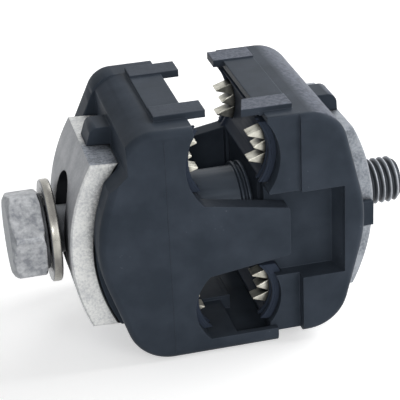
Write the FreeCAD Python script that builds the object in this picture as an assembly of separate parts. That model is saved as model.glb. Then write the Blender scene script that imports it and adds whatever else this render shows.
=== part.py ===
import FreeCAD, Part
import math
import os

# Insulation piercing connector: two moulded halves that carry toothed contact blades are
# drawn together by a bolt between two arched pressure plates. The bolt lies along X with
# its head towards -X, the two cables run along Y, and +Z is up. Millimetres.

# bolt
thread_diameter = 10.0
head_across_flats = 17.0
head_height = 7.0
head_chamfer_share = 0.92
head_chamfer_degrees = 30.0
washer_face_diameter = 15.8
washer_face_height = 0.7
bolt_length = 78.1
tip_chamfer = 1.3
head_turn_degrees = 42.0

# loose washer
washer_diameter = 21.6
washer_bore = 10.5
washer_thickness = 2.0
washer_head_gap = 0.2
washer_plate_gap = 1.2

# pressure plates: the one under the bolt head leans inwards at its top
head_plate_thickness = 5.0
nut_plate_thickness = 5.5
plate_width = 26.4
plate_height = 36.4
plate_centre_height = 1.3
plate_arch_radius = 40.0
plate_edge_chamfer = 0.4
head_plate_lean = 3.2
nut_plate_lean = 0.0
slot_width = 11.0
slot_height = 25.0
tapped_clearance = 0.05
plate_seat_gap = 0.1
seat_backing = 8.0

# moulded halves, measured from the bolt axis and from the plane between the halves
head_half_depth = 40.0
nut_half_depth = 42.0
head_half_top = 27.1
nut_top_rise = 0.1
nut_half_top = head_half_top + nut_top_rise
head_half_bottom = 24.0
nut_half_bottom = 22.0
head_top_corner_reach = 20.4
nut_top_corner_reach = 22.6
top_corner_radius = 8.2
bulge_reach = 28.6
bulge_height = 2.4
bulge_radius = 27.5
head_bottom_corner_reach = 20.1
nut_bottom_corner_reach = 22.3
head_bottom_corner_radius = 9.5
nut_bottom_corner_radius = 9.0
head_edge_rounding = 2.0
nut_edge_rounding = 1.6
head_inner_edge = 4.8
nut_inner_edge = 7.7
face_line_reach = 13.1
face_step = 0.15

# notch above the plate in the half on the bolt head's side, open to the front
notch_reach = 20.5
notch_low = 19.0
notch_shoulder_reach = 24.2
notch_shoulder_height = 15.4

# fuller flange behind the notch
flange_corner_reach = 19.6
flange_corner_radius = 5.5
flange_bulge_reach = 28.9
flange_bulge_height = 7.3
flange_bulge_radius = 19.0
flange_edge_rounding = 1.3

# cable channels
main_radius = 12.2
main_height = 18.6
main_head_reach = 9.1
main_nut_reach = 10.2
tap_radius = 10.0
tap_height = -13.4
tap_head_reach = 8.4
tap_nut_reach = 10.2
channel_floor_height = -20.5
channel_floor_end = 1.0
floor_pad_half_width = 4.7
floor_pad_rise = 0.8
floor_pad_gap = 0.2

# tongues, the recesses that they slide in, and the skirt
tongue_thickness = 3.8
tongue_length = 12.0
tongue_root_depth = 3.0
tongue_tip_top = 7.0
tongue_tip_bottom = -3.6
tongue_top_slope = 0.175
tongue_bottom_slope = 0.137
tongue_corner_radius = 0.8
recess_floor = 4.4
recess_reach = 23.2
recess_top = 10.6
recess_bottom = -9.0
recess_draft = 1.1
skirt_reach = 9.0
skirt_thickness = 1.05
skirt_side_thickness = 1.4
closing_travel = 5.0
skirt_stop_gap = 0.2
skirt_clearance = 0.25

# lips of the upper channel, raised pads and tabs
head_lip_set_back = 1.45
nut_lip_set_back = 0.4
lip_depth = 3.5
pad_height = 0.7
tab_top_height = 28.2
tab_thickness = 1.5
pad_start_reach = 13.7
head_tab_reach = 3.3
nut_tab_reach = 4.9
nut_tab_slant = 1.6
head_tab_inner = 8.7
head_tab_outer = 14.1
nut_tab_inner = 11.2
nut_tab_outer = 16.6

# hooks and side clips that hold the plates
hook_width = 6.4
hook_root_reach = 17.0
head_hook_reach = 24.5
nut_hook_reach = 27.4
head_hook_top = 22.8
nut_hook_top = 23.2
head_hook_slope = 1.8
nut_hook_slope = 0.3
head_hook_radius = 1.5
nut_hook_radius = 2.0
clip_height = 5.4
clip_width = 1.2
clip_rise = -0.4
clip_root_reach = 21.8

# bolt sleeve and the socket that it slides into
sleeve_diameter = 16.0
sleeve_bore = 11.2
sleeve_left_reach = 5.2
sleeve_collar_diameter = 17.6
sleeve_collar_length = 0.8
sleeve_collar_pitch = 1.4
sleeve_collar_count = 2
sleeve_seat_depth = 5.0
sleeve_end_gap = 0.05
sleeve_seat_gap = 0.1
socket_diameter = 19.4
socket_bore = 17.0
socket_depth = 10.5
socket_end_wall = 1.5
bolt_passage = 11.4

# contact blades, alike in both halves
blade_thickness = 3.0
blade_offset = 12.5
blade_back_reach = 15.0
blade_end_margin = 0.3
blade_shoulder = 0.8
blade_clearance = 0.12
tooth_tip_reach = 5.2
tooth_height = 3.7
tooth_pitch = 2.75
tooth_tip_flat = 0.3
main_row_curve = 1.15
tap_row_curve = 0.9
teeth_per_row = 3
bar_seal_gap = 0.15

# channel seals
seal_thickness = 2.2
seal_rise = 0.9
seal_length = 33.4
seal_gap = 0.1
seal_rib_rise = 0.5
seal_rib_width = 1.0
seal_rib_inset = 0.7
seal_rib_pitch = 2.1
seal_rib_count = 2
main_seal_top = 25.1
main_seal_bottom = 11.9
tap_seal_top = -7.0
tap_seal_bottom = -19.7

cut_margin = 2.0
tiny = 1e-4

# positions that follow from the sizes above
bolt_overall = head_height + bolt_length
head_end_x = -bolt_overall / 2
head_under_x = head_end_x + head_height
washer_left_x = head_under_x + washer_face_height + washer_head_gap
lean_shift = plate_arch_radius * (1 - math.cos(math.radians(head_plate_lean)))
plate_outer_left_x = washer_left_x + washer_thickness + washer_plate_gap + lean_shift
plate_outer_right_x = 32.8
mid_x = 0.7
axis_height = head_half_bottom

head_half = {
    "side": -1,
    "tongue_side": -1,
    "half_y": head_half_depth / 2,
    "top": head_half_top,
    "bottom": head_half_bottom,
    "top_corner": (head_top_corner_reach, head_half_top, top_corner_radius),
    "bottom_corner": (head_bottom_corner_reach, -head_half_bottom, head_bottom_corner_radius),
    "inner_edge": head_inner_edge,
    "rounding": head_edge_rounding,
    "main_reach": main_head_reach,
    "tap_reach": tap_head_reach,
    "lip_set_back": head_lip_set_back,
    "tab": (head_tab_inner, head_tab_outer, head_tab_reach),
    "hook": (head_hook_reach, head_hook_top, head_hook_slope, head_hook_radius),
    "plate_x": plate_outer_left_x,
    "plate_thickness": head_plate_thickness,
    "plate_lean": head_plate_lean,
}
nut_half = {
    "side": 1,
    "tongue_side": 1,
    "half_y": nut_half_depth / 2,
    "top": nut_half_top,
    "bottom": nut_half_bottom,
    "top_corner": (nut_top_corner_reach, nut_half_top, top_corner_radius),
    "bottom_corner": (nut_bottom_corner_reach, -nut_half_bottom, nut_bottom_corner_radius),
    "inner_edge": nut_inner_edge,
    "rounding": nut_edge_rounding,
    "main_reach": main_nut_reach,
    "tap_reach": tap_nut_reach,
    "lip_set_back": nut_lip_set_back,
    "tab": (nut_tab_inner, nut_tab_outer, nut_tab_reach),
    "hook": (nut_hook_reach, nut_hook_top, nut_hook_slope, nut_hook_radius),
    "plate_x": plate_outer_right_x,
    "plate_thickness": nut_plate_thickness,
    "plate_lean": nut_plate_lean,
}
joint_y = head_half_depth / 2


def vector(x, y, z):
    return FreeCAD.Vector(x, y, z)


def box(x0, x1, y0, y1, z0, z1):
    low = vector(min(x0, x1), min(y0, y1), min(z0, z1))
    return Part.makeBox(abs(x1 - x0), abs(y1 - y0), abs(z1 - z0), low)


def rod_x(x0, x1, radius):
    return Part.makeCylinder(radius, abs(x1 - x0), vector(min(x0, x1), 0, 0), vector(1, 0, 0))


def rod_y(x, z, radius, length):
    return Part.makeCylinder(radius, length, vector(x, -length / 2, z), vector(0, 1, 0))


def ring_x(x0, x1, outer, inner):
    return rod_x(x0, x1, outer).cut(rod_x(x0 - cut_margin, x1 + cut_margin, inner))


def joined(shapes):
    result = shapes[0]
    for shape in shapes[1:]:
        result = result.fuse(shape)
    return result.removeSplitter()


def one_solid(shape):
    solids = sorted(shape.Solids, key=lambda solid: solid.Volume)
    return solids[-1]


def rounded_wire(corners, y):
    """Closed outline in the plane y = const; each corner is (x, z, rounding radius)."""
    count = len(corners)
    longest_share = 0.48
    starts = []
    ends = []
    middles = []
    for index, (x, z, radius) in enumerate(corners):
        before = corners[index - 1]
        after = corners[(index + 1) % count]
        here = vector(x, y, z)
        back = vector(before[0], y, before[1]) - here
        ahead = vector(after[0], y, after[1]) - here
        shortest = min(back.Length, ahead.Length)
        back.normalize()
        ahead.normalize()
        opening = back.getAngle(ahead)
        reach = 0.0
        if radius > 0:
            reach = min(radius / math.tan(opening / 2), shortest * longest_share)
        starts.append(here + back * reach)
        ends.append(here + ahead * reach)
        if reach > 0:
            used = reach * math.tan(opening / 2)
            bisector = back + ahead
            bisector.normalize()
            centre = here + bisector * (used / math.sin(opening / 2))
            middles.append(centre - bisector * used)
        else:
            middles.append(None)
    edges = []
    for index in range(count):
        if middles[index] is not None:
            edges.append(Part.Arc(starts[index], middles[index], ends[index]).toShape())
        following = (index + 1) % count
        if (starts[following] - ends[index]).Length > tiny:
            edges.append(Part.makeLine(ends[index], starts[following]))
    return Part.Wire(edges)


def prism(corners, y0, y1):
    face = Part.Face(rounded_wire(corners, y0))
    return face.extrude(vector(0, y1 - y0, 0))


def mirrored(shape):
    return shape.mirror(vector(0, 0, 0), vector(0, 1, 0))


def on_side(side, reach):
    """X of a point at a distance from the plane between the halves."""
    return mid_x + side * reach


def side_box(side, reach0, reach1, y0, y1, z0, z1):
    return box(on_side(side, reach0), on_side(side, reach1), y0, y1, z0, z1)


# Channel walls: for each half the axis of the round wall lies past the middle plane.
def main_centre(half):
    return on_side(half["side"], half["main_reach"] - main_radius)


def tap_centre(half):
    return on_side(half["side"], half["tap_reach"] - tap_radius)


# Pressure plates: flat bars bent to an arch, seen from the side as a slice of a ring.
def plate_slice(half, outer_radius, inner_radius, width, height):
    side = half["side"]
    outer_x = half["plate_x"]
    centre_x = outer_x - side * plate_arch_radius
    ring = rod_y(centre_x, plate_centre_height, outer_radius, width)
    ring = ring.cut(rod_y(centre_x, plate_centre_height, inner_radius, width + cut_margin))
    far = outer_x + side * plate_arch_radius
    window = box(centre_x, far, -width / 2, width / 2,
                 plate_centre_height - height / 2, plate_centre_height + height / 2)
    piece = ring.common(window)
    piece.rotate(vector(outer_x, 0, plate_centre_height), vector(0, 1, 0), -side * half["plate_lean"])
    return piece


def pressure_plate(half):
    inner_radius = plate_arch_radius - half["plate_thickness"]
    plate = plate_slice(half, plate_arch_radius, inner_radius, plate_width, plate_height)
    long_edges = []
    for edge in plate.Edges:
        middle = edge.valueAt((edge.FirstParameter + edge.LastParameter) / 2)
        if abs(abs(middle.y) - plate_width / 2) < tiny:
            long_edges.append(edge)
    return plate.makeChamfer(plate_edge_chamfer, long_edges)


def plate_room(half, outer_radius):
    inner_radius = plate_arch_radius - half["plate_thickness"] - plate_seat_gap
    return plate_slice(half, outer_radius, inner_radius,
                       plate_width + 2 * plate_seat_gap, plate_height + 2 * plate_seat_gap)


def seat_pad(half):
    """Backing that carries the plate along its whole arch."""
    seat_radius = plate_arch_radius - half["plate_thickness"] - plate_seat_gap
    return plate_slice(half, seat_radius, seat_radius - seat_backing, plate_width, plate_height)


def slot_cutter(x0, x1):
    straight = slot_height / 2 - slot_width / 2
    block = box(x0, x1, -slot_width / 2, slot_width / 2, -straight, straight)
    upper = rod_x(x0, x1, slot_width / 2)
    upper.translate(vector(0, 0, straight))
    lower = rod_x(x0, x1, slot_width / 2)
    lower.translate(vector(0, 0, -straight))
    return joined([block, upper, lower])


# Contact blades: two rows of pointed teeth, the middle ones set back along a shallow curve,
# joined by a straight bar.
def tooth_row(side, centre_z, curve):
    """Points of one row from its top to its bottom, as (x, z)."""
    half_count = max((teeth_per_row - 1) / 2, 0.5)
    root_reach = tooth_tip_reach + tooth_height
    points = [(on_side(side, root_reach), centre_z + (half_count + 0.5) * tooth_pitch)]
    for index in range(teeth_per_row):
        place = (teeth_per_row - 1) / 2 - index
        z = centre_z + place * tooth_pitch
        tip_x = on_side(side, tooth_tip_reach + curve * (1 - (place / half_count) ** 2))
        points.append((tip_x, z + tooth_tip_flat / 2))
        points.append((tip_x, z - tooth_tip_flat / 2))
        if index < teeth_per_row - 1:
            points.append((on_side(side, root_reach), z - tooth_pitch / 2))
    points.append((on_side(side, root_reach), centre_z - (half_count + 0.5) * tooth_pitch))
    return points


def blade_points(half):
    side = half["side"]
    upper = tooth_row(side, main_height, main_row_curve)
    lower = tooth_row(side, tap_height, tap_row_curve)
    back = on_side(side, blade_back_reach)
    top = upper[0][1] + blade_end_margin
    bottom = lower[-1][1] - blade_end_margin
    seal_back = seal_thickness - seal_rise + bar_seal_gap
    bar_x = on_side(side, max(half["main_reach"], half["tap_reach"]) + seal_back)
    points = [(back, top), (upper[0][0] + side * blade_shoulder, top)]
    points += upper
    points += [(bar_x, upper[-1][1]), (bar_x, lower[0][1])]
    points += lower
    points += [(lower[-1][0] + side * blade_shoulder, bottom), (back, bottom)]
    return points


def contact_blade(half, y_side):
    corners = [(x, z, 0.0) for x, z in blade_points(half)]
    middle = y_side * blade_offset
    return prism(corners, middle - blade_thickness / 2, middle + blade_thickness / 2)


def blade_slots(half, low, high):
    """Two slots that the blades stand in, from height low to high."""
    reach = blade_back_reach + blade_clearance
    half_width = blade_thickness / 2 + blade_clearance
    slots = []
    for y_side in (-1, 1):
        middle = y_side * blade_offset
        slots.append(side_box(half["side"], 0, reach, middle - half_width, middle + half_width,
                              low - blade_clearance, high + blade_clearance))
    return joined(slots)


def blade_room(half):
    heights = [z for x, z in blade_points(half)]
    return blade_slots(half, min(heights), max(heights))


def row_room(half, centre_z):
    """The slots of one row of teeth, which is all that passes through its seal."""
    middle = (main_height + tap_height) / 2
    heights = [z for x, z in blade_points(half) if (z > middle) == (centre_z > middle)]
    return blade_slots(half, min(heights), max(heights))


# Seals: a slice of tube that lines the round channel wall, with ribs near both mouths.
def seal_window(half, x_limit, low, high, length):
    far = on_side(half["side"], bulge_reach)
    return box(x_limit, far, -length / 2, length / 2, low, high)


def sleeve_room(radius):
    return rod_x(on_side(-1, bulge_reach), on_side(1, bulge_reach), radius)


def channel_facts(half, row):
    if row == "main":
        return main_centre(half), main_height, main_radius, main_seal_bottom, main_seal_top
    return tap_centre(half), tap_height, tap_radius, tap_seal_bottom, tap_seal_top


def channel_seal(half, row):
    centre_x, centre_z, radius, low, high = channel_facts(half, row)
    outer = radius - seal_rise + seal_thickness
    inner = radius - seal_rise
    liner = rod_y(centre_x, centre_z, outer, seal_length)
    liner = liner.cut(rod_y(centre_x, centre_z, inner, seal_length + cut_margin))
    ribs = []
    for y_side in (-1, 1):
        for index in range(seal_rib_count):
            middle = y_side * (seal_length / 2 - seal_rib_inset - index * seal_rib_pitch)
            rib = rod_y(centre_x, centre_z, outer, seal_rib_width)
            rib = rib.cut(rod_y(centre_x, centre_z, inner - seal_rib_rise, seal_rib_width + cut_margin))
            rib.translate(vector(0, middle, 0))
            ribs.append(rib)
    liner = joined([liner] + ribs)
    liner = liner.common(seal_window(half, centre_x, low, high, seal_length + cut_margin))
    liner = liner.cut(sleeve_room(socket_diameter / 2 + seal_gap))
    return one_solid(liner.cut(row_room(half, centre_z)))


def seal_pocket(half, row):
    centre_x, centre_z, radius, low, high = channel_facts(half, row)
    outer = radius - seal_rise + seal_thickness + seal_gap
    pocket = rod_y(centre_x, centre_z, outer, seal_length + 2 * seal_gap)
    window = seal_window(half, centre_x, low - seal_gap, high + seal_gap, 2 * half["half_y"])
    return pocket.common(window).cut(sleeve_room(socket_diameter / 2))


# Moulded halves
def half_outline(half, skirt):
    side = half["side"]
    inner = half["inner_edge"]
    corners = [(on_side(side, inner), half["top"], 0.0)]
    bulge = (bulge_reach, bulge_height, bulge_radius)
    for reach, z, radius in (half["top_corner"], bulge, half["bottom_corner"]):
        corners.append((on_side(side, reach), z, radius))
    if skirt:
        corners.append((on_side(-side, skirt_reach), -half["bottom"], 0.0))
        corners.append((on_side(-side, skirt_reach), channel_floor_height, 0.0))
        corners.append((on_side(side, inner), channel_floor_height, 0.0))
    else:
        corners.append((on_side(side, inner), -half["bottom"], 0.0))
    return corners


def rounded_half(half, skirt):
    half_y = half["half_y"]
    body = prism(half_outline(half, skirt), -half_y, half_y)
    rim = []
    for edge in body.Edges:
        middle = edge.valueAt((edge.FirstParameter + edge.LastParameter) / 2)
        if abs(abs(middle.y) - half_y) > tiny:
            continue
        on_top = abs(middle.z - half["top"]) < tiny
        on_bottom = abs(middle.z + half["bottom"]) < tiny
        outside = half["side"] * (middle.x - mid_x) > half["inner_edge"] + tiny
        if on_top or on_bottom or outside:
            rim.append(edge)
    return body.makeFillet(half["rounding"], rim)


def channel_cutters(half, floor):
    depth = 2 * half["half_y"]
    main = rod_y(main_centre(half), main_height, main_radius, depth + cut_margin)
    tap = rod_y(tap_centre(half), tap_height, tap_radius, depth + cut_margin)
    ceiling = tap_height + tap_radius + cut_margin
    window = box(-depth, depth, -depth, depth, floor, ceiling)
    return joined([main, tap.common(window)])


def hook(half):
    side = half["side"]
    nose, top, slope, radius = half["hook"]
    foot = plate_centre_height + plate_height / 2 - cut_margin
    corners = [
        (on_side(side, hook_root_reach), top, 0.0),
        (on_side(side, nose), top, radius),
        (on_side(side, nose + slope), foot, 0.0),
        (on_side(side, hook_root_reach), foot, 0.0),
    ]
    block = prism(corners, -hook_width / 2, hook_width / 2)
    return block.cut(plate_room(half, plate_arch_radius + plate_seat_gap))


def lip_reach(half):
    rise = half["top"] - main_height
    reach = math.sqrt(max(main_radius ** 2 - rise ** 2, 1.0))
    return half["side"] * (main_centre(half) - mid_x) + reach + half["lip_set_back"]


def lip_cutter(half):
    """Squares the channel's sharp upper edge off to a lip."""
    depth = half["half_y"] + cut_margin
    return side_box(half["side"], 0, lip_reach(half), -depth, depth,
                    half["top"] - lip_depth, half["top"] + cut_margin)


def tab_pad(half, slants):
    """Raised pad with a tab at each end; slants holds how far each tab's tip is cut back."""
    side = half["side"]
    inner, outer, tip_reach = half["tab"]
    lip = lip_reach(half)
    base = half["top"] - tab_thickness / 2
    parts = [side_box(side, lip, pad_start_reach, -outer, outer, base, half["top"] + pad_height)]
    for y_side, slant in zip((-1, 1), slants):
        tip = [(tip_reach, inner), (tip_reach - slant, outer), (lip, outer), (lip, inner)]
        points = [vector(on_side(side, reach), y_side * y, tab_top_height - tab_thickness)
                  for reach, y in tip]
        outline = Part.makePolygon(points + [points[0]])
        parts.append(Part.Face(outline).extrude(vector(0, 0, tab_thickness)))
        parts.append(side_box(side, lip, pad_start_reach, y_side * inner, y_side * outer,
                              base, tab_top_height))
    return joined(parts)


def tongue(half):
    side = half["side"]
    root = half["inner_edge"] + tongue_root_depth
    run = root + tongue_length
    tip = on_side(-side, tongue_length)
    corners = [
        (on_side(side, root), tongue_tip_top + run * tongue_top_slope, 0.0),
        (tip, tongue_tip_top, tongue_corner_radius),
        (tip, tongue_tip_bottom, tongue_corner_radius),
        (on_side(side, root), tongue_tip_bottom - run * tongue_bottom_slope, 0.0),
    ]
    shape = prism(corners, -joint_y, -joint_y + tongue_thickness)
    return shape if half["tongue_side"] < 0 else mirrored(shape)


def recess_cutter(half):
    """Room for the other half's tongue, sloped at its outer end."""
    side = half["side"]
    x0 = on_side(side, half["inner_edge"] - cut_margin)
    end = on_side(side, recess_reach)
    floor_y = -joint_y + recess_floor
    outside_y = -half["half_y"] - cut_margin
    points = [
        vector(x0, outside_y, recess_bottom),
        vector(end, outside_y, recess_bottom),
        vector(end, -joint_y, recess_bottom),
        vector(end - side * recess_draft, floor_y, recess_bottom),
        vector(x0, floor_y, recess_bottom),
    ]
    outline = Part.makePolygon(points + [points[0]])
    cutter = Part.Face(outline).extrude(vector(0, 0, recess_top - recess_bottom))
    return mirrored(cutter) if half["tongue_side"] < 0 else cutter


def seated(half, body):
    """Body with its plate seat, hook, bolt passage, blade slots and seal pockets."""
    side = half["side"]
    body = body.fuse(seat_pad(half))
    body = body.cut(plate_room(half, plate_arch_radius * 2))
    body = body.fuse(hook(half))
    body = body.cut(rod_x(on_side(side, bulge_reach + cut_margin), mid_x, bolt_passage / 2))
    body = body.cut(blade_room(half))
    for row in ("main", "tap"):
        body = body.cut(seal_pocket(half, row))
    return body


def notch_cutter():
    """Clears the plate's upper end and lets it show from the front."""
    side = head_half["side"]
    far = bulge_reach + cut_margin
    high = head_half_top
    front = -head_half["half_y"] - cut_margin
    rear = plate_width / 2 + plate_seat_gap
    corners = [
        (on_side(side, notch_reach), high, 0.0),
        (on_side(side, notch_reach), notch_low, 0.0),
        (on_side(side, notch_shoulder_reach), notch_shoulder_height, 0.0),
        (on_side(side, far), notch_shoulder_height, 0.0),
        (on_side(side, far), high, 0.0),
    ]
    return prism(corners, front, rear)


def rear_flange():
    """Fuller wall of the head side half between the plate and its rear face."""
    side = head_half["side"]
    half_y = head_half["half_y"]
    low_reach, low_z, low_radius = head_half["bottom_corner"]
    corners = [
        (on_side(side, head_inner_edge), head_half_top, 0.0),
        (on_side(side, flange_corner_reach), head_half_top, flange_corner_radius),
        (on_side(side, flange_bulge_reach), flange_bulge_height, flange_bulge_radius),
        (on_side(side, low_reach), low_z, low_radius),
        (on_side(side, head_inner_edge), low_z, 0.0),
    ]
    flange = prism(corners, plate_width / 2 + 2 * plate_seat_gap, half_y)
    rim = []
    for edge in flange.Edges:
        middle = edge.valueAt((edge.FirstParameter + edge.LastParameter) / 2)
        outside = side * (middle.x - mid_x) > head_inner_edge + tiny
        if abs(middle.y - half_y) < tiny and outside:
            rim.append(edge)
    return flange.makeFillet(flange_edge_rounding, rim)


def head_side_half():
    half = head_half
    side = half["side"]
    half_y = half["half_y"]
    body = rounded_half(half, True).fuse(rear_flange())
    body = body.cut(channel_cutters(half, channel_floor_height))
    body = body.cut(notch_cutter())
    # the skirt's floor steps down, so that the other half can slide in above it
    side_y = half_y - skirt_side_thickness
    step = box(channel_floor_end, on_side(-side, skirt_reach + cut_margin), -side_y, side_y,
               skirt_thickness - head_half_bottom, channel_floor_height + cut_margin)
    body = body.cut(step)
    # outside the face line the front and rear faces lie a little deeper
    for y_side in (-1, 1):
        body = body.cut(side_box(side, face_line_reach, bulge_reach + cut_margin,
                                 y_side * (half_y - face_step), y_side * (half_y + cut_margin),
                                 -half["bottom"] - cut_margin, half["top"] + cut_margin))
    body = body.cut(recess_cutter(half)).cut(lip_cutter(half))
    socket_start = on_side(side, half["inner_edge"])
    socket_end = socket_start + side * socket_depth
    boss = rod_x(socket_end + side * socket_end_wall, socket_start, socket_diameter / 2)
    pad_end = on_side(1, nut_inner_edge - closing_travel - floor_pad_gap)
    floor_pad = box(tap_centre(half) - tap_radius, pad_end, -floor_pad_half_width, floor_pad_half_width,
                    skirt_thickness / 2 - head_half_bottom, channel_floor_height + floor_pad_rise)
    body = joined([body, boss, tongue(half), floor_pad, tab_pad(half, (0.0, 0.0))])
    body = seated(half, body)
    body = body.cut(rod_x(socket_end, socket_start - side * cut_margin, socket_bore / 2))
    return one_solid(body.removeSplitter())


def set_back_cutters():
    """Steps near the middle that let the other half's faces and skirt slide over."""
    half_y = nut_half["half_y"]
    skirt_tip = skirt_reach + closing_travel + skirt_stop_gap
    below = -nut_half_bottom - cut_margin
    steps = [
        (joint_y, recess_top, nut_half_top + cut_margin),
        (joint_y - skirt_side_thickness - skirt_clearance, below, recess_bottom),
    ]
    cutters = []
    for inner, low, high in steps:
        for y_side in (-1, 1):
            outer = y_side * (half_y + cut_margin)
            cutters.append(side_box(1, 0, skirt_tip, y_side * inner, outer, low, high))
    tongue_y = nut_half["tongue_side"] * joint_y
    cutters.append(side_box(1, 0, skirt_tip, tongue_y, tongue_y * 2, recess_bottom, recess_top))
    under = skirt_thickness + skirt_clearance - head_half_bottom
    cutters.append(side_box(1, 0, skirt_tip, -half_y * 2, half_y * 2, below, max(under, -nut_half_bottom)))
    return cutters


def clips(half):
    """Small lugs on both sides that the plate is pressed in between."""
    side = half["side"]
    edge_y = plate_width / 2
    lugs = []
    for y_side in (-1, 1):
        lugs.append(box(on_side(side, clip_root_reach), half["plate_x"] + side * clip_rise,
                        y_side * (edge_y - clip_width), y_side * (edge_y + plate_seat_gap + clip_width),
                        -clip_height / 2, clip_height / 2))
    return joined(lugs).cut(plate_room(half, plate_arch_radius + plate_seat_gap))


def nut_side_half():
    half = nut_half
    side = half["side"]
    body = rounded_half(half, False)
    body = body.cut(channel_cutters(half, -nut_half_bottom - cut_margin))
    body = body.cut(recess_cutter(half)).cut(lip_cutter(half))
    for cutter in set_back_cutters():
        body = body.cut(cutter)
    body = joined([body, tongue(half), tab_pad(half, (nut_tab_slant, 0.0))])
    body = seated(half, body).fuse(clips(half))
    seat_x = on_side(side, half["inner_edge"] + sleeve_seat_depth)
    body = body.cut(rod_x(mid_x, seat_x, sleeve_diameter / 2 + sleeve_seat_gap))
    return one_solid(body.removeSplitter())


def bolt_sleeve():
    start = on_side(-1, sleeve_left_reach)
    face = on_side(1, nut_inner_edge)
    end = face + sleeve_seat_depth - sleeve_end_gap
    parts = [rod_x(start, end, sleeve_diameter / 2)]
    for index in range(sleeve_collar_count):
        right = face - sleeve_seat_gap - index * sleeve_collar_pitch
        parts.append(rod_x(right - sleeve_collar_length, right, sleeve_collar_diameter / 2))
    return joined(parts).cut(rod_x(start - cut_margin, end + cut_margin, sleeve_bore / 2))


def hex_prism(x0, x1, across_flats):
    radius = across_flats / math.sqrt(3)
    points = []
    for index in range(7):
        angle = math.radians(60 * index + head_turn_degrees)
        points.append(vector(x0, radius * math.cos(angle), radius * math.sin(angle)))
    return Part.Face(Part.makePolygon(points)).extrude(vector(x1 - x0, 0, 0))


def hex_bolt():
    head = hex_prism(head_end_x, head_under_x, head_across_flats)
    # the chamfer is a cone that trims the six corners at the end face
    flat_radius = head_across_flats / 2 * head_chamfer_share
    slope = math.tan(math.radians(head_chamfer_degrees))
    cone_length = head_height + cut_margin
    cone = Part.makeCone(flat_radius, flat_radius + cone_length / slope, cone_length,
                         vector(head_end_x, 0, 0), vector(1, 0, 0))
    head = head.common(cone)
    face = rod_x(head_under_x, head_under_x + washer_face_height, washer_face_diameter / 2)
    tip_x = head_under_x + bolt_length
    shank = rod_x(head_under_x, tip_x, thread_diameter / 2)
    tip_edges = [edge for edge in shank.Edges if abs(edge.CenterOfMass.x - tip_x) < tiny]
    shank = shank.makeChamfer(tip_chamfer, tip_edges)
    return joined([head, face, shank])


def flat_washer():
    right = washer_left_x + washer_thickness
    return ring_x(washer_left_x, right, washer_diameter / 2, washer_bore / 2)


def head_side_plate():
    return pressure_plate(head_half).cut(slot_cutter(plate_outer_left_x - cut_margin, mid_x))


def nut_side_plate():
    bore = thread_diameter / 2 + tapped_clearance
    return pressure_plate(nut_half).cut(rod_x(mid_x, plate_outer_right_x + cut_margin, bore))


nodes = {
    "body_half_head_side": head_side_half(),
    "body_half_nut_side": nut_side_half(),
    "pressure_plate_head_side": head_side_plate(),
    "pressure_plate_nut_side": nut_side_plate(),
    "hex_bolt": hex_bolt(),
    "washer": flat_washer(),
    "bolt_sleeve": bolt_sleeve(),
}
for half, half_name in ((head_half, "head_side"), (nut_half, "nut_side")):
    for y_side, y_name in ((-1, "front"), (1, "rear")):
        nodes["blade_" + y_name + "_" + half_name] = contact_blade(half, y_side)
    for row in ("main", "tap"):
        nodes["seal_" + row + "_" + half_name] = channel_seal(half, row)

os.makedirs("parts", exist_ok=True)
for name, shape in nodes.items():
    shape.translate(vector(0, 0, axis_height))
    shape.exportStep("parts/" + name + ".step")
    print(name, round(shape.Volume, 1), shape.isValid(), len(shape.Solids))
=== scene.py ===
import math

import bmesh
import bpy
from mathutils import Matrix, Vector


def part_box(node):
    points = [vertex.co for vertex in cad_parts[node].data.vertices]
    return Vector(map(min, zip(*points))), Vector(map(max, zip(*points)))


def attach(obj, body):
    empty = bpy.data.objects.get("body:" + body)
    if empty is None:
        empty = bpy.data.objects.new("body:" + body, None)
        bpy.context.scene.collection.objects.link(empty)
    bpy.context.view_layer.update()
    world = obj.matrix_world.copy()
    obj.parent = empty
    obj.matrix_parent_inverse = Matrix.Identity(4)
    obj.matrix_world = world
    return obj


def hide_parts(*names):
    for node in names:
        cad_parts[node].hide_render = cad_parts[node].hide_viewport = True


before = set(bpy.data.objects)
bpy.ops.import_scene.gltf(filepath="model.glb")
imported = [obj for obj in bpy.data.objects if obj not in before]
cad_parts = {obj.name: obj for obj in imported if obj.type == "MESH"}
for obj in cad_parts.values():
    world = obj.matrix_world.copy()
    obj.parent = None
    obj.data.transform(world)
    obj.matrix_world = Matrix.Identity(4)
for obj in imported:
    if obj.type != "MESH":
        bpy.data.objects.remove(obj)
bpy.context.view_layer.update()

# Insulation piercing connector: finishes, threaded bolt, washer, camera and studio round the model.
# Everything is in metres and in the model's own frame: +X along the bolt, +Z up.

mm = 0.001
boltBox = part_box("hex_bolt")
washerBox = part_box("washer")
axisHeight = (washerBox[0][2] + washerBox[1][2]) / 2


# One socket of a node tree, so that shader maths reads as plain Python.
class Flow:
    def __init__(self, nodes, socket):
        self.nodes = nodes
        self.socket = socket

    def calc(self, operation, first, second):
        return self.nodes.add("ShaderNodeMath", {"operation": operation}, {0: first, 1: second})

    def __add__(self, other):
        return self.calc("ADD", self, other)

    def __radd__(self, other):
        return self.calc("ADD", other, self)

    def __sub__(self, other):
        return self.calc("SUBTRACT", self, other)

    def __rsub__(self, other):
        return self.calc("SUBTRACT", other, self)

    def __mul__(self, other):
        return self.calc("MULTIPLY", self, other)

    def __rmul__(self, other):
        return self.calc("MULTIPLY", other, self)


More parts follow.
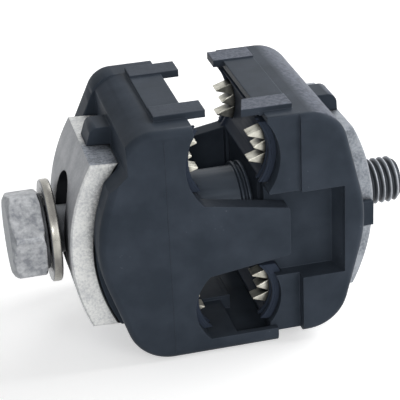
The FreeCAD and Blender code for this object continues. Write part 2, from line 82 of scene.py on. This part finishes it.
# A node tree being built: add() makes any node, and the rest are the masks and mixes used here.
class Nodes:
    def __init__(self, tree):
        self.tree = tree

    def plug(self, socket, value):
        if isinstance(value, Flow):
            self.tree.links.new(value.socket, socket)
        elif isinstance(value, tuple) and len(value) == 3 and socket.type == "RGBA":
            socket.default_value = (*value, 1)
        else:
            socket.default_value = value

    def add(self, kind, settings=None, values=None, out=0):
        node = self.tree.nodes.new(kind)
        for key, value in (settings or {}).items():
            setattr(node, key, value)
        for key, value in (values or {}).items():
            self.plug(node.inputs[key], value)
        return Flow(self, node.outputs[out])

    def here(self):
        return self.add("ShaderNodeTexCoord", out="Object")

    # soft noise whose lumps are about this size
    def cloud(self, size, detail, roughness=0.55, stretch=(1, 1, 1)):
        spot = self.add("ShaderNodeMapping", None, {"Vector": self.here(), "Scale": stretch})
        values = {"Vector": spot, "Scale": 1 / size, "Detail": detail, "Roughness": roughness}
        return self.add("ShaderNodeTexNoise", {"noise_dimensions": "3D"}, values, "Fac")

    # distance to the nearest of some strewn points, as a share of their spacing
    def dots(self, spacing):
        values = {"Vector": self.here(), "Scale": 1 / spacing}
        return self.add("ShaderNodeTexVoronoi", {"feature": "F1"}, values, "Distance")

    # 0 up to start, 1 from end on, and a straight slope between them
    def step(self, flow, start, end):
        values = {"Value": flow, "From Min": start, "From Max": end, "To Min": 0.0, "To Max": 1.0}
        return self.add("ShaderNodeMapRange", {"clamp": True}, values)

    def blend(self, first, second, firstShare):
        return first * firstShare + second * (1 - firstShare)

    def mix(self, mask, low, high):
        return self.add("ShaderNodeMix", {"data_type": "RGBA"}, {0: mask, 6: low, 7: high}, 2)

    def dot(self, first, second):
        settings = {"operation": "DOT_PRODUCT"}
        return self.add("ShaderNodeVectorMath", settings, {0: first, 1: second}, "Value")

    # how squarely the surface faces a direction
    def facing(self, direction):
        return self.dot(self.add("ShaderNodeTexCoord", out="Normal"), direction)

    # the same for both ways along a direction, 0 to 1
    def across(self, direction):
        facing = self.facing(direction)
        return facing * facing

    # 0 before start and 1 after end, both measured along a direction
    def beyond(self, direction, start, end):
        return self.step(self.dot(self.here(), direction), start, end)

    # 0 round the bolt axis, 1 farther out
    def outside(self, inner, outer):
        values = {0: self.here(), 1: (0, 1, 1)}
        sideways = self.add("ShaderNodeVectorMath", {"operation": "MULTIPLY"}, values)
        values = {0: sideways, 1: (0, 0, axisHeight)}
        distance = self.add("ShaderNodeVectorMath", {"operation": "DISTANCE"}, values, "Value")
        return self.step(distance, inner, outer)

    # 1 in the open, less in corners and gaps
    def openness(self, distance):
        return self.add("ShaderNodeAmbientOcclusion", {"samples": 8}, {"Distance": distance}, "AO")

    def softNormal(self, radius):
        return self.add("ShaderNodeBevel", {"samples": 6}, {"Radius": radius}, "Normal")

    # how far the surface turns within a small distance: 0 on flats, more on sharp edges
    def edges(self, radius):
        return 1 - self.dot(self.softNormal(radius), self.add("ShaderNodeNewGeometry", out="Normal"))

    def bump(self, height, depth, strength, normal=None):
        values = {"Height": height, "Distance": depth, "Strength": strength}
        if normal:
            values["Normal"] = normal
        return self.add("ShaderNodeBump", None, values, "Normal")

    # 1 where a surface is looked at, straight on, mirrored or through glass, and 0 for its light
    def lookedAt(self):
        camera = self.add("ShaderNodeLightPath", out="Is Camera Ray")
        glossy = self.add("ShaderNodeLightPath", out="Is Glossy Ray")
        through = self.add("ShaderNodeLightPath", out="Is Transmission Ray")
        settings = {"operation": "ADD", "use_clamp": True}
        return self.add("ShaderNodeMath", settings, {0: camera + glossy, 1: through})


# A new material: one Principled shader, whose sockets set() fills by their camelCase names.
class Finish(Nodes):
    def __init__(self, name):
        self.material = bpy.data.materials.new(name)
        self.material.use_nodes = True
        super().__init__(self.material.node_tree)
        self.tree.nodes.clear()
        self.shader = self.tree.nodes.new("ShaderNodeBsdfPrincipled")
        output = self.tree.nodes.new("ShaderNodeOutputMaterial")
        self.tree.links.new(self.shader.outputs["BSDF"], output.inputs["Surface"])

    def set(self, **values):
        for name, value in values.items():
            self.plug(self.shader.inputs[self.socketName(name)], value)

    def socketName(self, name):
        words = ""
        for letter in name:
            words += " " + letter if letter.isupper() else letter
        return words[:1].upper() + words[1:].replace("I O R", "IOR")


def srgb(red, green, blue):
    linear = []
    for value in (red, green, blue):
        share = value / 255
        linear.append(share / 12.92 if share <= 0.04045 else ((share + 0.055) / 1.055) ** 2.4)
    return tuple(linear)


# In the finishes, a cloud is its size, detail and roughness, and a relief its depth and strength.
# A pair in round brackets beside a mask is where that mask starts to rise and where it is full.
nylon = {
    "colour": srgb(54, 61, 70), "dust": srgb(65, 72, 82), "edge": srgb(98, 106, 119),
    # The last colour on the next line is a painted highlight.
    "speck": srgb(126, 132, 140), "sheen": srgb(112, 117, 129),
    "flow": (8 * mm, 4), "grain": (0.3 * mm, 4), "ripple": (1.5 * mm, 3), "dusty": (0.38, 0.7),
    "wornWidth": 0.35 * mm, "worn": (0.04, 0.3), "wornLeast": 0.6, "wornShare": 0.45,
    "speckSpacing": 1.3 * mm, "offSpeck": (0.05, 0.12), "speckled": (0.55, 0.7), "speckShare": 0.5,
    # This line and the next two place a patchy painted highlight on the shoulder and the tab tops.
    "shoulder": (0.5, 0, 0.866), "onShoulder": (0.88, 0.97),
    "tabTop": (51.9 * mm, 52.15 * mm), "facesUp": (0.7, 0.9),
    "sheens": (0.9 * mm, 5, 0.7), "sheenPatchy": (0.38, 0.6), "sheenPatchyLeast": 0.3,
    "roughness": 0.34, "grainRoughness": 0.15,
    "relief": (0.03 * mm, 0.5), "reliefGrain": 0.6, "softWidth": 0.35 * mm,
}
# The last entry of each kind is how strongly that painted highlight shows.
nearNylon = {"name": "bodyNylon", "gloss": 0.04, "tint": (0.8, 0.88, 1.0), "sheened": 0.15}
farNylon = {"name": "sheenedNylon", "gloss": 0.04, "tint": (0.8, 0.88, 1.0), "sheened": 1.0}
sleeveNylon = {"name": "sleeveNylon", "gloss": 0.6, "tint": (0.72, 0.84, 1.0), "sheened": 0.0}


def makeNylon(kind):
    finish = Finish(kind["name"])
    flow = finish.cloud(*nylon["flow"])
    grain = finish.cloud(*nylon["grain"])
    colour = finish.mix(finish.step(flow, *nylon["dusty"]), nylon["colour"], nylon["dust"])
    edges = finish.edges(nylon["wornWidth"]) * (nylon["wornLeast"] + flow)
    worn = finish.step(edges, *nylon["worn"])
    colour = finish.mix(worn * nylon["wornShare"], colour, nylon["edge"])
    specks = 1 - finish.step(finish.dots(nylon["speckSpacing"]), *nylon["offSpeck"])
    specks = specks * finish.step(flow, *nylon["speckled"])
    colour = finish.mix(specks * nylon["speckShare"], colour, nylon["speck"])
    # a patchy painted highlight lightens the outer shoulder and the tops of the tabs, which stand
    # highest; it is full on the far half, faint on the near half and absent on the sleeve
    shoulder = finish.step(finish.facing(nylon["shoulder"]), *nylon["onShoulder"])
    tabs = finish.beyond((0, 0, 1), *nylon["tabTop"])
    tabs = tabs * finish.step(finish.facing((0, 0, 1)), *nylon["facesUp"])
    sheenPatchy = finish.step(finish.cloud(*nylon["sheens"]), *nylon["sheenPatchy"])
    sheenPatchy = nylon["sheenPatchyLeast"] + (1 - nylon["sheenPatchyLeast"]) * sheenPatchy
    colour = finish.mix((shoulder + tabs) * sheenPatchy * kind["sheened"], colour, nylon["sheen"])
    finish.set(baseColor=colour, roughness=nylon["roughness"] + grain * nylon["grainRoughness"])
    finish.set(specularIORLevel=kind["gloss"], specularTint=kind["tint"])
    relief = finish.blend(grain, finish.cloud(*nylon["ripple"]), nylon["reliefGrain"])
    soft = finish.softNormal(nylon["softWidth"])
    finish.set(normal=finish.bump(relief, *nylon["relief"], soft))
    return finish.material


rubber = {
    "colour": srgb(46, 53, 66), "bloom": srgb(64, 72, 86),
    "flow": (4 * mm, 3), "grain": (0.3 * mm, 3), "roughness": 0.4, "flowRoughness": 0.15,
    "gloss": 0.06, "tint": (0.62, 0.78, 1.0), "relief": (0.01 * mm, 0.5), "softWidth": 0.25 * mm,
}


def makeRubber():
    finish = Finish("sealRubber")
    flow = finish.cloud(*rubber["flow"])
    finish.set(baseColor=finish.mix(flow, rubber["colour"], rubber["bloom"]))
    finish.set(roughness=rubber["roughness"] + flow * rubber["flowRoughness"])
    finish.set(specularIORLevel=rubber["gloss"], specularTint=rubber["tint"])
    soft = finish.softNormal(rubber["softWidth"])
    finish.set(normal=finish.bump(finish.cloud(*rubber["grain"]), *rubber["relief"], soft))
    return finish.material


plate = {
    "grain": (0.55 * mm, 6, 0.7), "blotch": (4 * mm, 3),
    "pitGrain": 0.65, "even": (0.4, 0.56), "faceGrain": 0.5, "pale": (0.4, 0.6),
    # end and hookSide place the painted shadow in front of the hook.
    "cut": (0.3, 0.75), "end": (0.6, 0.85), "hookSide": (-3.33 * mm, 0),
    # This line and the next set where painted shade falls, in crevices and in the slot.
    "creviceShadeDepth": 3 * mm, "creviceShadeGrain": 0.3, "unshaded": (0.55, 0.95),
    "pastSlot": (12.8 * mm, 13 * mm), "broad": (0.3, 0.6),
    "roughness": 0.42, "grainRoughness": 0.25,
    "relief": (0.1 * mm, 0.7), "reliefGrain": 0.7, "softWidth": 0.45 * mm,
}
# Each plate's two end colours are a speckled painted shadow in front of the hook, and its darkest
# colour is painted shade in crevices and the slot.
headPlate = {
    "name": "castPlate", "edge": srgb(240, 241, 239), "pit": srgb(202, 204, 206),
    "face": srgb(176, 178, 182), "shade": srgb(150, 153, 158), "endShadowLight": srgb(166, 172, 182),
    "endShadowDark": srgb(92, 98, 107), "creviceShade": srgb(38, 41, 46), "metallic": 0.35,
}
nutPlate = {
    "name": "zincPlate", "edge": srgb(172, 177, 184), "pit": srgb(124, 130, 138),
    "face": srgb(152, 157, 162), "shade": srgb(126, 131, 137), "endShadowLight": srgb(150, 155, 162),
    "endShadowDark": srgb(116, 122, 130), "creviceShade": srgb(48, 52, 58), "metallic": 0.4,
}


# The sheared sides and ends are pale and pitted, the broad faces smoother and darker.
def makePlate(kind):
    finish = Finish(kind["name"])
    grain = finish.cloud(*plate["grain"])
    blotch = finish.cloud(*plate["blotch"])
    pits = 1 - finish.step(finish.blend(grain, blotch, plate["pitGrain"]), *plate["even"])
    pale = finish.step(finish.blend(grain, blotch, plate["faceGrain"]), *plate["pale"])
    face = finish.mix(pale, kind["shade"], kind["face"])
    end = finish.across((0, 0, 1))
    cut = finish.step(finish.across((0, 1, 0)) + end, *plate["cut"])
    colour = finish.mix(cut, face, finish.mix(pits, kind["edge"], kind["pit"]))
    # a speckled painted shadow of the hook darkens the ends in front of it, not behind it
    inHookShadow = 1 - finish.beyond((0, 1, 0), *plate["hookSide"])
    dull = finish.mix(pits, kind["endShadowLight"], kind["endShadowDark"])
    colour = finish.mix(finish.step(end, *plate["end"]) * inHookShadow, colour, dull)
    # painted shade: darker where the surface is closed in, in crevices and against the body
    unshaded = finish.openness(plate["creviceShadeDepth"]) + grain * plate["creviceShadeGrain"]
    colour = finish.mix(finish.step(unshaded, *plate["unshaded"]), kind["creviceShade"], colour)
    # painted shade darkens the walls of the slot, which are all that faces sideways so near the bolt
    walls = 1 - finish.step(finish.across((1, 0, 0)), *plate["broad"])
    slot = 1 - finish.outside(*plate["pastSlot"])
    colour = finish.mix(slot * walls, colour, kind["creviceShade"])
    finish.set(baseColor=colour, metallic=kind["metallic"])
    finish.set(roughness=plate["roughness"] + grain * plate["grainRoughness"])
    relief = finish.blend(grain, blotch, plate["reliefGrain"])
    soft = finish.softNormal(plate["softWidth"])
    finish.set(normal=finish.bump(relief, *plate["relief"], soft))
    return finish.material


galvanised = {
    # The dark thread colour is painted shade in the grooves, and the darkest colour is painted shade
    # in crevices.
    "light": srgb(198, 200, 203), "dark": srgb(138, 141, 147), "end": srgb(112, 117, 122),
    "bare": srgb(205, 206, 206), "grooveShade": srgb(58, 63, 70), "crest": srgb(192, 196, 202),
    "creviceShade": srgb(44, 47, 52),
    "mottle": (1.4 * mm, 5, 0.62), "patches": (4 * mm, 3), "mottleShare": 0.7, "pale": (0.38, 0.6),
    "onEnd": (0.6, 0.97), "endShare": 0.75,
    "wornWidth": 0.5 * mm, "worn": (0.06, 0.3), "wornLeast": 0.4, "wornShare": 0.5,
    # The next line places the thread's painted groove shade.
    "outOfGroove": (4.3 * mm, 4.95 * mm), "crestLeast": 0.35, "pastThread": (5.05 * mm, 5.15 * mm),
    "behindHead": (-36 * mm, -35 * mm), "onTip": (0.9, 0.97),
    # The next line sets where painted shade falls in crevices.
    "creviceShadeDepth": 6 * mm, "unshaded": (0.3, 0.75),
    "metallic": 0.45, "roughness": 0.4, "mottleRoughness": 0.25,
    "relief": (0.16 * mm, 0.7), "softWidth": 0.35 * mm,
}


def makeGalvanised():
    finish = Finish("galvanisedSteel")
    mottle = finish.cloud(*galvanised["mottle"])
    patches = finish.cloud(*galvanised["patches"])
    pale = finish.step(finish.blend(mottle, patches, galvanised["mottleShare"]), *galvanised["pale"])
    colour = finish.mix(pale, galvanised["dark"], galvanised["light"])
    end = finish.step(finish.facing((-1, 0, 0)), *galvanised["onEnd"])
    colour = finish.mix(end * galvanised["endShare"], colour, galvanised["end"])
    edges = finish.edges(galvanised["wornWidth"]) * (galvanised["wornLeast"] + mottle)
    worn = finish.step(edges, *galvanised["worn"])
    colour = finish.mix(worn * galvanised["wornShare"], colour, galvanised["bare"])
    # the thread is painted with shade in its grooves, and its crests keep a pale, rubbed colour,
    # from behind the head to the tip's flat face
    rise = finish.outside(*galvanised["outOfGroove"]) * (galvanised["crestLeast"] + mottle)
    thread = finish.mix(rise, galvanised["grooveShade"], galvanised["crest"])
    inside = 1 - finish.outside(*galvanised["pastThread"])
    behindHead = finish.beyond((1, 0, 0), *galvanised["behindHead"])
    sides = 1 - finish.step(finish.across((1, 0, 0)), *galvanised["onTip"])
    colour = finish.mix(inside * behindHead * sides, colour, thread)
    # painted shade: darker where the surface is closed in, as on the shank between washer and plate
    unshaded = finish.step(finish.openness(galvanised["creviceShadeDepth"]), *galvanised["unshaded"])
    colour = finish.mix(unshaded, galvanised["creviceShade"], colour)
    finish.set(baseColor=colour, metallic=galvanised["metallic"])
    finish.set(roughness=galvanised["roughness"] + mottle * galvanised["mottleRoughness"])
    soft = finish.softNormal(galvanised["softWidth"])
    finish.set(normal=finish.bump(mottle, *galvanised["relief"], soft))
    return finish.material


brightZinc = {
    # The face colours on the next two lines paint the flat faces as shaded, the streak colour is a
    # darker painted reflection on the rim, and the masks below place them.
    "rim": srgb(172, 170, 162), "reflectionStreak": srgb(128, 126, 122), "face": srgb(96, 98, 103),
    "dull": srgb(76, 79, 84), "mottle": (1.5 * mm, 4), "shadedFace": (0.2, 0.6),
    "reflectionStreaks": (6 * mm, 2, 0.5, (3, 1, 1)), "clear": (0.35, 0.6),
    "metallic": 0.85, "roughness": 0.2, "mottleRoughness": 0.16, "relief": (0.04 * mm, 0.4),
}


def makeBrightZinc():
    finish = Finish("brightZinc")
    mottle = finish.cloud(*brightZinc["mottle"])
    # painted shade: the flat faces are darker than the rim
    face = finish.mix(mottle, brightZinc["dull"], brightZinc["face"])
    # painted reflection: darker streaks across the rim
    clear = finish.step(finish.cloud(*brightZinc["reflectionStreaks"]), *brightZinc["clear"])
    rim = finish.mix(clear, brightZinc["reflectionStreak"], brightZinc["rim"])
    shadedFace = finish.step(finish.across((1, 0, 0)), *brightZinc["shadedFace"])
    finish.set(baseColor=finish.mix(shadedFace, rim, face), metallic=brightZinc["metallic"])
    finish.set(roughness=brightZinc["roughness"] + mottle * brightZinc["mottleRoughness"])
    finish.set(normal=finish.bump(mottle, *brightZinc["relief"]))
    return finish.material


tinned = {
    # The darkest colour here is painted shade in crevices, placed by the last entries on the next
    # line.
    "light": srgb(220, 218, 206), "dark": srgb(172, 170, 158), "creviceShade": srgb(34, 36, 38),
    "mottle": (2 * mm, 4), "pale": (0.35, 0.6), "creviceShadeDepth": 2 * mm, "unshaded": (0.45, 0.85),
    "metallic": 0.8, "roughness": 0.22, "mottleRoughness": 0.15,
    "relief": (0.03 * mm, 0.3), "softWidth": 0.2 * mm,
}


def makeTinned():
    finish = Finish("tinnedCopper")
    mottle = finish.cloud(*tinned["mottle"])
    colour = finish.mix(finish.step(mottle, *tinned["pale"]), tinned["dark"], tinned["light"])
    # painted shade: darker where the blade is closed in
    unshaded = finish.step(finish.openness(tinned["creviceShadeDepth"]), *tinned["unshaded"])
    finish.set(baseColor=finish.mix(unshaded, tinned["creviceShade"], colour), metallic=tinned["metallic"])
    finish.set(roughness=tinned["roughness"] + mottle * tinned["mottleRoughness"])
    soft = finish.softNormal(tinned["softWidth"])
    finish.set(normal=finish.bump(mottle, *tinned["relief"], soft))
    return finish.material


galvanisedSteel = makeGalvanised()
brightWasher = makeBrightZinc()
finishes = {
    "body_half_head_side": makeNylon(nearNylon),
    "body_half_nut_side": makeNylon(farNylon),
    "bolt_sleeve": makeNylon(sleeveNylon),
    "seal": makeRubber(),
    "pressure_plate_head": makePlate(headPlate),
    "pressure_plate_nut": makePlate(nutPlate),
    "hex_bolt": galvanisedSteel,
    "washer": brightWasher,
    "blade": makeTinned(),
}
for name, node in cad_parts.items():
    for start, material in finishes.items():
        if name.startswith(start):
            node.data.materials.clear()
            node.data.materials.append(material)
print("finishes")

# Real edges are never sharp: weld the mesh, then round what turns sharply. The plates are left
# out, because rounding would draw dark lines beside their holes.
roundedEdges = {
    "body_half": 0.25 * mm, "blade": 0.12 * mm, "seal": 0.15 * mm, "bolt_sleeve": 0.15 * mm,
}
rounding = {"weld": 0.001 * mm, "turn": 35, "steps": 2}


def roundEdges(node, width):
    weld = node.modifiers.new("weld", "WELD")
    weld.merge_threshold = rounding["weld"]
    bevel = node.modifiers.new("roundedEdges", "BEVEL")
    bevel.width = width
    bevel.segments = rounding["steps"]
    bevel.limit_method = "ANGLE"
    bevel.angle_limit = math.radians(rounding["turn"])
    bevel.harden_normals = True


for name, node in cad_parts.items():
    for start, width in roundedEdges.items():
        if name.startswith(start):
            roundEdges(node, width)
print("rounded edges")


# Surface swept round the bolt axis: one ring of points at each x, whose radius may change with
# the angle. Ends are closed by a fan, or joined to each other where the section is a loop.
def sweepRound(name, places, columns, radiusAt, loop=False):
    mesh = bmesh.new()
    rings = []
    for index, x in enumerate(places):
        ring = []
        for column in range(columns):
            angle = 2 * math.pi * column / columns
            radius = radiusAt(index, x, angle)
            y, z = radius * math.cos(angle), axisHeight + radius * math.sin(angle)
            ring.append(mesh.verts.new((x, y, z)))
        rings.append(ring)
    pairs = list(zip(rings, rings[1:]))
    if loop:
        pairs.append((rings[-1], rings[0]))
    else:
        for ring, x in ((rings[0], places[0]), (rings[-1], places[-1])):
            tip = mesh.verts.new((x, 0, axisHeight))
            for column in range(columns):
                mesh.faces.new((tip, ring[column], ring[(column + 1) % columns]))
    for first, second in pairs:
        for column in range(columns):
            after = (column + 1) % columns
            mesh.faces.new((first[column], first[after], second[after], second[column]))
    bmesh.ops.recalc_face_normals(mesh, faces=mesh.faces)
    data = bpy.data.meshes.new(name)
    mesh.to_mesh(data)
    mesh.free()
    piece = bpy.data.objects.new(name, data)
    bpy.context.scene.collection.objects.link(piece)
    return piece


def spread(start, end, count):
    return [start + (end - start) * index / count for index in range(count + 1)]


# Chamfers start at the radius named flat. Rows are the rings of points along each stretch.
bolt = {
    "acrossFlats": 17 * mm, "headHeight": 7.0 * mm, "turn": 42, "chamferSlope": 0.58,
    "endFlat": 7.8 * mm, "endDepth": 1.2 * mm, "endRows": 10, "middleRows": 8,
    "underFlat": 9.01 * mm, "underDepth": 0.8 * mm, "underRows": 6,
    "faceRadius": 7.9 * mm, "faceHeight": 0.7 * mm, "shankRadius": 4.95 * mm, "shankRows": 6,
    "radius": 5.0 * mm, "threadLength": 46 * mm, "pitch": 1.5 * mm, "depth": 0.92 * mm,
    "crest": 0.14, "flank": 0.6, "tipRadius": 3.9 * mm, "columns": 72, "rowsPerTurn": 12,
}


# Hexagon head with a conical chamfer towards the end face and a smaller one underneath.
def headRadius(x, angle):
    start = boltBox[0][0]
    under = start + bolt["headHeight"]
    sector = math.radians(60)
    turned = (angle - math.radians(bolt["turn"])) % sector - sector / 2
    hexRadius = bolt["acrossFlats"] / 2 / math.cos(turned)
    endChamfer = bolt["endFlat"] + (x - start) / bolt["chamferSlope"]
    underChamfer = bolt["underFlat"] + (under - x) / bolt["chamferSlope"]
    return min(hexRadius, endChamfer, underChamfer)


# Right-handed thread that fades in over its first turn and ends in a small cone.
def threadRadius(x, angle):
    end = boltBox[1][0]
    start = end - bolt["threadLength"]
    if x < start:
        return bolt["shankRadius"]
    phase = ((x - start) / bolt["pitch"] - angle / (2 * math.pi)) % 1
    fall = min(max((abs(phase - 0.5) * 2 - bolt["crest"]) / bolt["flank"], 0), 1)
    fadeIn = min((x - start) / bolt["pitch"], 1)
    radius = bolt["radius"] - bolt["depth"] * fall * fadeIn
    return min(radius, bolt["tipRadius"] + (end - x))


def makeBolt():
    start, end = boltBox[0][0], boltBox[1][0]
    under = start + bolt["headHeight"]
    face = under + bolt["faceHeight"]
    threadStart = end - bolt["threadLength"]
    endChamfer, underChamfer = start + bolt["endDepth"], under - bolt["underDepth"]
    head = spread(start, endChamfer, bolt["endRows"])
    head += spread(endChamfer, underChamfer, bolt["middleRows"])[1:]
    head += spread(underChamfer, under, bolt["underRows"])[1:]
    washerFace = [under, face]
    shank = [face] + spread(face, threadStart, bolt["shankRows"])[1:-1]
    turns = bolt["threadLength"] / bolt["pitch"]
    thread = spread(threadStart, end, round(turns * bolt["rowsPerTurn"]))

    def radiusAt(index, x, angle):
        if index < len(head):
            return headRadius(x, angle)
        if index < len(head) + len(washerFace):
            return bolt["faceRadius"]
        return threadRadius(x, angle)

    places = head + washerFace + shank + thread
    piece = sweepRound("threadedBolt", places, bolt["columns"], radiusAt)
    piece.data.materials.append(galvanisedSteel)
    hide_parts("hex_bolt")
    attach(piece, "bolt")


washer = {"bore": 10.5 * mm, "edge": 0.45 * mm, "steps": 4, "columns": 96}


# Flat ring with rounded outer edges.
def makeWasher():
    left, right = washerBox[0][0], washerBox[1][0]
    edge = washer["edge"]
    rimRadius = (washerBox[1][2] - washerBox[0][2]) / 2 - edge
    section = []
    for centre, begin, stop in ((left + edge, 180, 90), (right - edge, 90, 0)):
        for angle in spread(math.radians(begin), math.radians(stop), washer["steps"]):
            section.append((centre + edge * math.cos(angle), rimRadius + edge * math.sin(angle)))
    section.append((right, washer["bore"] / 2))
    section.append((left, washer["bore"] / 2))

    def radiusAt(index, x, angle):
        return section[index][1]

    places = [x for x, radius in section]
    piece = sweepRound("flatWasher", places, washer["columns"], radiusAt, loop=True)
    for polygon in piece.data.polygons:
        polygon.use_smooth = True
    piece.data.materials.append(brightWasher)
    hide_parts("washer")
    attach(piece, "washer")


makeBolt()
makeWasher()
print("bolt and washer")

# A long lens in front of the connector, a little to its left and above it, and slightly rolled.
view = {
    "place": (-0.0645, -0.2783, 0.1667), "azimuth": -12.8, "elevation": 26.3, "roll": -2.8,
    "lens": 135, "sensor": 36, "nearest": 0.01,
}


def makeCamera():
    camera = bpy.data.objects.new("camera", bpy.data.cameras.new("camera"))
    bpy.context.scene.collection.objects.link(camera)
    turn = Matrix.Rotation(math.radians(view["azimuth"]), 4, "Z")
    tilt = Matrix.Rotation(math.radians(90 - view["elevation"]), 4, "X")
    roll = Matrix.Rotation(math.radians(view["roll"]), 4, "Z")
    camera.matrix_world = Matrix.Translation(view["place"]) @ turn @ tilt @ roll
    camera.data.lens = view["lens"]
    camera.data.sensor_width = view["sensor"]
    camera.data.clip_start = view["nearest"]
    bpy.context.scene.camera = camera


makeCamera()
print("camera")

# The fill stands behind the camera, so that it lights the channels.
lamps = [
    {"name": "key", "place": (0.35, -0.85, 0.45), "size": 0.5, "power": 1.9},
    {"name": "side", "place": (0.75, 0.1, 0.55), "size": 0.5, "power": 5.2},
    {"name": "rim", "place": (0.4, 0.7, 0.6), "size": 0.45, "power": 2.0},
    {"name": "fill", "place": (-0.19, -0.83, 0.42), "size": 0.15, "power": 1.6},
]
studio = {
    "lampsAim": (0, 0, 0.025), "ambient": 0.27, "backdrop": 1.0,
    "floorSize": 1.6, "floorShade": 0.9, "floorRoughness": 0.9, "floorGlow": 0.45,
}


def makeLamp(facts):
    data = bpy.data.lights.new(facts["name"], "AREA")
    data.shape = "SQUARE"
    data.size = facts["size"]
    data.energy = facts["power"]
    lamp = bpy.data.objects.new(facts["name"], data)
    bpy.context.scene.collection.objects.link(lamp)
    lamp.location = facts["place"]
    toObject = Vector(studio["lampsAim"]) - lamp.location
    lamp.rotation_euler = toObject.to_track_quat("-Z", "Y").to_euler()


# Pale floor that takes the shadow and glows only where it is looked at.
def makeFloor():
    mesh = bpy.data.meshes.new("studioFloor")
    half = studio["floorSize"] / 2
    corners = [(-half, -half, 0), (half, -half, 0), (half, half, 0), (-half, half, 0)]
    mesh.from_pydata(corners, [], [(0, 1, 2, 3)])
    floor = bpy.data.objects.new("studioFloor", mesh)
    bpy.context.scene.collection.objects.link(floor)
    finish = Finish("paleFloor")
    finish.set(baseColor=(studio["floorShade"],) * 3, roughness=studio["floorRoughness"])
    glow = finish.mix(finish.lookedAt(), (0, 0, 0), (studio["floorGlow"],) * 3)
    finish.set(emissionColor=glow, emissionStrength=1.0)
    mesh.materials.append(finish.material)


# White where it is looked at, dimmer as a light.
def makeWorld():
    world = bpy.data.worlds.new("studio")
    bpy.context.scene.world = world
    world.use_nodes = True
    background = world.node_tree.nodes["Background"]
    background.inputs["Color"].default_value = (1, 1, 1, 1)
    nodes = Nodes(world.node_tree)
    strength = studio["ambient"] + nodes.lookedAt() * (studio["backdrop"] - studio["ambient"])
    nodes.plug(background.inputs["Strength"], strength)


for facts in lamps:
    makeLamp(facts)
makeFloor()
makeWorld()
bpy.context.scene.view_settings.view_transform = "Standard"
print("studio")
